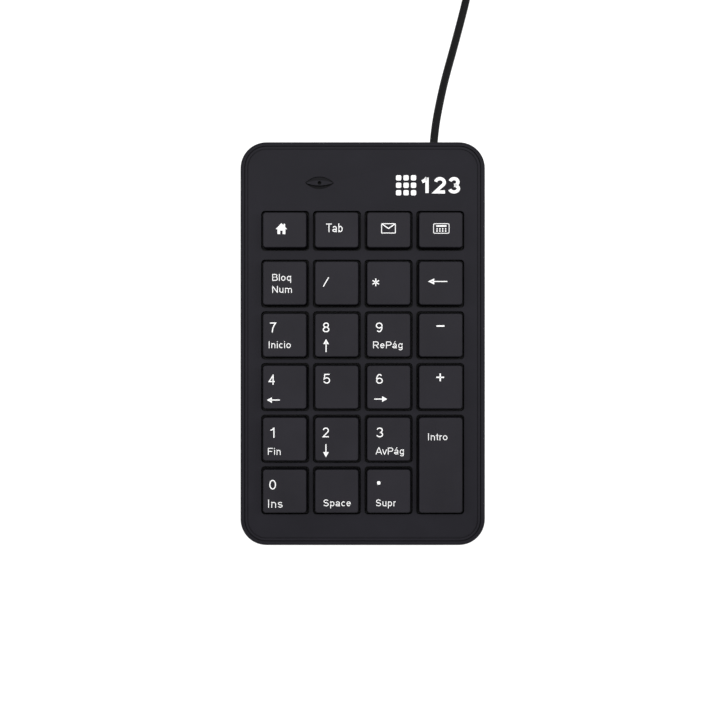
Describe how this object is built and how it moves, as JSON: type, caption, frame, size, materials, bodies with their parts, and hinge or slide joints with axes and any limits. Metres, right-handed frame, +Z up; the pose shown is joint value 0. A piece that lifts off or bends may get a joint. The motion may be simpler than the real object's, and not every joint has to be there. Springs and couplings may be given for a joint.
{
  "type": "numeric keypad",
  "caption": "Wedge-shaped wired numeric keypad with square sprung keys, a tall enter key, an indicator light and a coiled USB lead.",
  "frame": {"origin": "on the table, under the middle of the case", "axes": "+X to the right, +Y to the rear where the cord leaves, +Z up"},
  "size_m": [0.091, 0.2701, 0.0219],
  "materials": {
    "deck_plastic": "fine moulded texture, near-black grey",
    "base_plastic": "coarser moulded texture, near-black grey",
    "key_plastic": "fine matt texture, dark grey",
    "frame_plastic": "plain moulded",
    "dome_silicone": "milky silicone",
    "film": "clear polyester film",
    "plate_steel": "zinc plated",
    "steel": "zinc plated",
    "board_green": "solder mask",
    "chip_black": "moulded epoxy",
    "can_metal": "drawn can",
    "led_resin": "clear resin",
    "lens_dark": "smoked acrylic",
    "pad_rubber": "plain",
    "connector_white": "plain nylon",
    "wire_insulation": "plain PVC",
    "cord_jacket": "satin PVC",
    "foot_rubber": "plain",
    "label_foil": "plain blank foil",
    "tie_strap": "woven hook-and-loop",
    "plug_plastic": "satin PVC",
    "shell_metal": "nickel plated",
    "gold": "gold flash"
  },
  "bodies": {
    "case": {"top_cover": "deck_plastic", "bottom_cover": "base_plastic", "case_screws": "steel", "guide_frame": "frame_plastic", "dome_sheet": "dome_silicone", "upper_film": "film", "spacer_film": "film", "lower_film": "film", "backing_plate": "plate_steel", "stack_screws": "steel", "controller_board": "board_green", "controller_chip": "chip_black", "board_parts": "can_metal", "indicator_led": "led_resin", "indicator_lens": "lens_dark", "tail_pad": "pad_rubber", "tail_clamp": "frame_plastic", "board_screws": "steel", "lead_connector": "connector_white", "lead_wires": "wire_insulation", "inner_lead": "cord_jacket", "cord_bushing": "cord_jacket", "feet": "foot_rubber", "blank_label": "label_foil", "cord_run": "cord_jacket", "cord_coil": "cord_jacket", "cord_tail": "cord_jacket", "coil_tie": "tie_strap", "plug_grip": "plug_plastic", "plug_shell": "shell_metal", "plug_tongue": "connector_white", "plug_contacts": "gold"},
    "enter_stabiliser": {"enter_stabiliser": "steel"},
    "key_0": {"key_0": "key_plastic"},
    "key_space": {"key_space": "key_plastic"},
    "key_decimal": {"key_decimal": "key_plastic"},
    "key_1": {"key_1": "key_plastic"},
    "key_2": {"key_2": "key_plastic"},
    "key_3": {"key_3": "key_plastic"},
    "key_4": {"key_4": "key_plastic"},
    "key_5": {"key_5": "key_plastic"},
    "key_6": {"key_6": "key_plastic"},
    "key_plus": {"key_plus": "key_plastic"},
    "key_7": {"key_7": "key_plastic"},
    "key_8": {"key_8": "key_plastic"},
    "key_9": {"key_9": "key_plastic"},
    "key_minus": {"key_minus": "key_plastic"},
    "key_num_lock": {"key_num_lock": "key_plastic"},
    "key_divide": {"key_divide": "key_plastic"},
    "key_multiply": {"key_multiply": "key_plastic"},
    "key_backspace": {"key_backspace": "key_plastic"},
    "key_home": {"key_home": "key_plastic"},
    "key_tab": {"key_tab": "key_plastic"},
    "key_mail": {"key_mail": "key_plastic"},
    "key_calculator": {"key_calculator": "key_plastic"},
    "key_enter": {"key_enter": "key_plastic"}
  },
  "joints": [
    {"name": "key_0_press", "type": "slide", "parent": "case", "child": "key_0", "axis": [0, 0.0523, -0.9986], "range_m": [0, 0.0022], "stiffness_N_per_m": 220, "springref_m": -0.0015, "deforming": ["dome_sheet"]},
    {"name": "key_space_press", "type": "slide", "parent": "case", "child": "key_space", "axis": [0, 0.0523, -0.9986], "range_m": [0, 0.0022], "stiffness_N_per_m": 220, "springref_m": -0.0015, "deforming": ["dome_sheet"]},
    {"name": "key_decimal_press", "type": "slide", "parent": "case", "child": "key_decimal", "axis": [0, 0.0523, -0.9986], "range_m": [0, 0.0022], "stiffness_N_per_m": 220, "springref_m": -0.0015, "deforming": ["dome_sheet"]},
    {"name": "key_1_press", "type": "slide", "parent": "case", "child": "key_1", "axis": [0, 0.0523, -0.9986], "range_m": [0, 0.0022], "stiffness_N_per_m": 220, "springref_m": -0.0015, "deforming": ["dome_sheet"]},
    {"name": "key_2_press", "type": "slide", "parent": "case", "child": "key_2", "axis": [0, 0.0523, -0.9986], "range_m": [0, 0.0022], "stiffness_N_per_m": 220, "springref_m": -0.0015, "deforming": ["dome_sheet"]},
    {"name": "key_3_press", "type": "slide", "parent": "case", "child": "key_3", "axis": [0, 0.0523, -0.9986], "range_m": [0, 0.0022], "stiffness_N_per_m": 220, "springref_m": -0.0015, "deforming": ["dome_sheet"]},
    {"name": "key_4_press", "type": "slide", "parent": "case", "child": "key_4", "axis": [0, 0.0523, -0.9986], "range_m": [0, 0.0022], "stiffness_N_per_m": 220, "springref_m": -0.0015, "deforming": ["dome_sheet"]},
    {"name": "key_5_press", "type": "slide", "parent": "case", "child": "key_5", "axis": [0, 0.0523, -0.9986], "range_m": [0, 0.0022], "stiffness_N_per_m": 220, "springref_m": -0.0015, "deforming": ["dome_sheet"]},
    {"name": "key_6_press", "type": "slide", "parent": "case", "child": "key_6", "axis": [0, 0.0523, -0.9986], "range_m": [0, 0.0022], "stiffness_N_per_m": 220, "springref_m": -0.0015, "deforming": ["dome_sheet"]},
    {"name": "key_plus_press", "type": "slide", "parent": "case", "child": "key_plus", "axis": [0, 0.0523, -0.9986], "range_m": [0, 0.0022], "stiffness_N_per_m": 220, "springref_m": -0.0015, "deforming": ["dome_sheet"]},
    {"name": "key_7_press", "type": "slide", "parent": "case", "child": "key_7", "axis": [0, 0.0523, -0.9986], "range_m": [0, 0.0022], "stiffness_N_per_m": 220, "springref_m": -0.0015, "deforming": ["dome_sheet"]},
    {"name": "key_8_press", "type": "slide", "parent": "case", "child": "key_8", "axis": [0, 0.0523, -0.9986], "range_m": [0, 0.0022], "stiffness_N_per_m": 220, "springref_m": -0.0015, "deforming": ["dome_sheet"]},
    {"name": "key_9_press", "type": "slide", "parent": "case", "child": "key_9", "axis": [0, 0.0523, -0.9986], "range_m": [0, 0.0022], "stiffness_N_per_m": 220, "springref_m": -0.0015, "deforming": ["dome_sheet"]},
    {"name": "key_minus_press", "type": "slide", "parent": "case", "child": "key_minus", "axis": [0, 0.0523, -0.9986], "range_m": [0, 0.0022], "stiffness_N_per_m": 220, "springref_m": -0.0015, "deforming": ["dome_sheet"]},
    {"name": "key_num_lock_press", "type": "slide", "parent": "case", "child": "key_num_lock", "axis": [0, 0.0523, -0.9986], "range_m": [0, 0.0022], "stiffness_N_per_m": 220, "springref_m": -0.0015, "deforming": ["dome_sheet"]},
    {"name": "key_divide_press", "type": "slide", "parent": "case", "child": "key_divide", "axis": [0, 0.0523, -0.9986], "range_m": [0, 0.0022], "stiffness_N_per_m": 220, "springref_m": -0.0015, "deforming": ["dome_sheet"]},
    {"name": "key_multiply_press", "type": "slide", "parent": "case", "child": "key_multiply", "axis": [0, 0.0523, -0.9986], "range_m": [0, 0.0022], "stiffness_N_per_m": 220, "springref_m": -0.0015, "deforming": ["dome_sheet"]},
    {"name": "key_backspace_press", "type": "slide", "parent": "case", "child": "key_backspace", "axis": [0, 0.0523, -0.9986], "range_m": [0, 0.0022], "stiffness_N_per_m": 220, "springref_m": -0.0015, "deforming": ["dome_sheet"]},
    {"name": "key_home_press", "type": "slide", "parent": "case", "child": "key_home", "axis": [0, 0.0523, -0.9986], "range_m": [0, 0.0022], "stiffness_N_per_m": 220, "springref_m": -0.0015, "deforming": ["dome_sheet"]},
    {"name": "key_tab_press", "type": "slide", "parent": "case", "child": "key_tab", "axis": [0, 0.0523, -0.9986], "range_m": [0, 0.0022], "stiffness_N_per_m": 220, "springref_m": -0.0015, "deforming": ["dome_sheet"]},
    {"name": "key_mail_press", "type": "slide", "parent": "case", "child": "key_mail", "axis": [0, 0.0523, -0.9986], "range_m": [0, 0.0022], "stiffness_N_per_m": 220, "springref_m": -0.0015, "deforming": ["dome_sheet"]},
    {"name": "key_calculator_press", "type": "slide", "parent": "case", "child": "key_calculator", "axis": [0, 0.0523, -0.9986], "range_m": [0, 0.0022], "stiffness_N_per_m": 220, "springref_m": -0.0015, "deforming": ["dome_sheet"]},
    {"name": "key_enter_press", "type": "slide", "parent": "case", "child": "key_enter", "axis": [0, 0.0523, -0.9986], "range_m": [0, 0.0022], "stiffness_N_per_m": 220, "springref_m": -0.0015, "deforming": ["dome_sheet"]},
    {"name": "enter_stabiliser_turn", "type": "hinge", "parent": "case", "child": "enter_stabiliser", "pos_m": [0.02318, -0.0449, 0.01165], "axis": [0, 0.9986, 0.0523], "range_deg": [0, 12]}
  ],
  "couplings": [
    {"joint": "enter_stabiliser_turn", "follows": "key_enter_press", "rad_per_m": 90.688}
  ]
}
